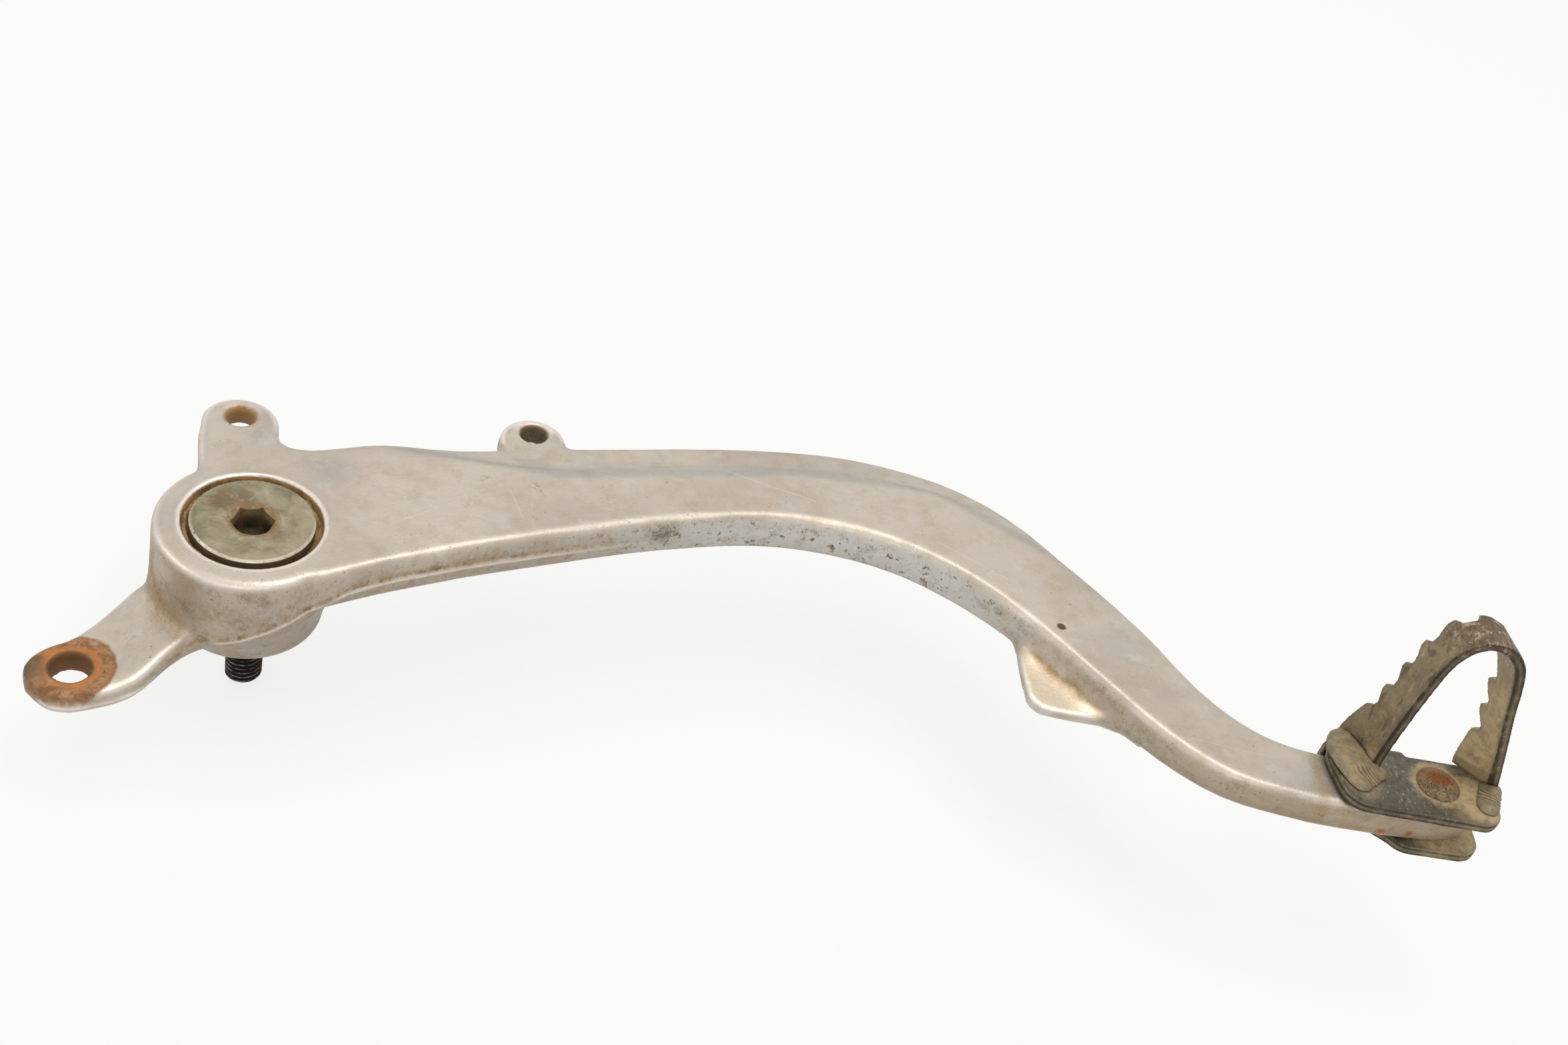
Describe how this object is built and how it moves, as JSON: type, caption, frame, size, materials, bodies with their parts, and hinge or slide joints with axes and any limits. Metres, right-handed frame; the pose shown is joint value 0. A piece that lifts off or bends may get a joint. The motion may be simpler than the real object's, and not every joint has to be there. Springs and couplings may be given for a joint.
{
  "type": "rear brake pedal",
  "caption": "Forged alloy rear brake pedal arm on its shoulder pivot bolt, with push rod ear, spring arm, stop lug and a riveted steel tip bracket carrying a toothed tread loop.",
  "frame": {"origin": "on the pivot axis in the plane of the boss's inboard face, where the pedal sits against its support", "axes": "+Z along the pivot axis outboard, from the thread toward the bolt head; +X along the lever from the pivot toward the tread; +Y toward the side of the spring arm and the stop lug"},
  "size_m": [0.3116, 0.099, 0.0888],
  "materials": {
    "alloy": "worn satin forged alloy with dirt in the corners",
    "bolt_steel": "dull olive zinc plating, dark dirty thread",
    "seal_rubber": "matt black rubber",
    "dull_steel": "dull plated steel with tan dirt",
    "loop_steel": "dull plated steel, rusty and worn at the crown",
    "rivet_steel": "rusty steel",
    "weld_metal": "rippled weld metal with tan dirt"
  },
  "bodies": {
    "bolt": {"pivot_bolt": "bolt_steel"},
    "pedal": {"lever_arm": "alloy", "outer_seal_ring": "seal_rubber", "inner_seal_ring": "seal_rubber", "tip_bracket": "dull_steel", "tread_loop": "loop_steel", "tip_rivet": "rivet_steel", "left_weld_bead": "weld_metal", "right_weld_bead": "weld_metal"}
  },
  "joints": [
    {"name": "pedal_pivot", "type": "hinge", "parent": "bolt", "child": "pedal", "pos_m": [0, 0, 0.0115], "axis": [0, 0, 1], "continuous": true}
  ]
}
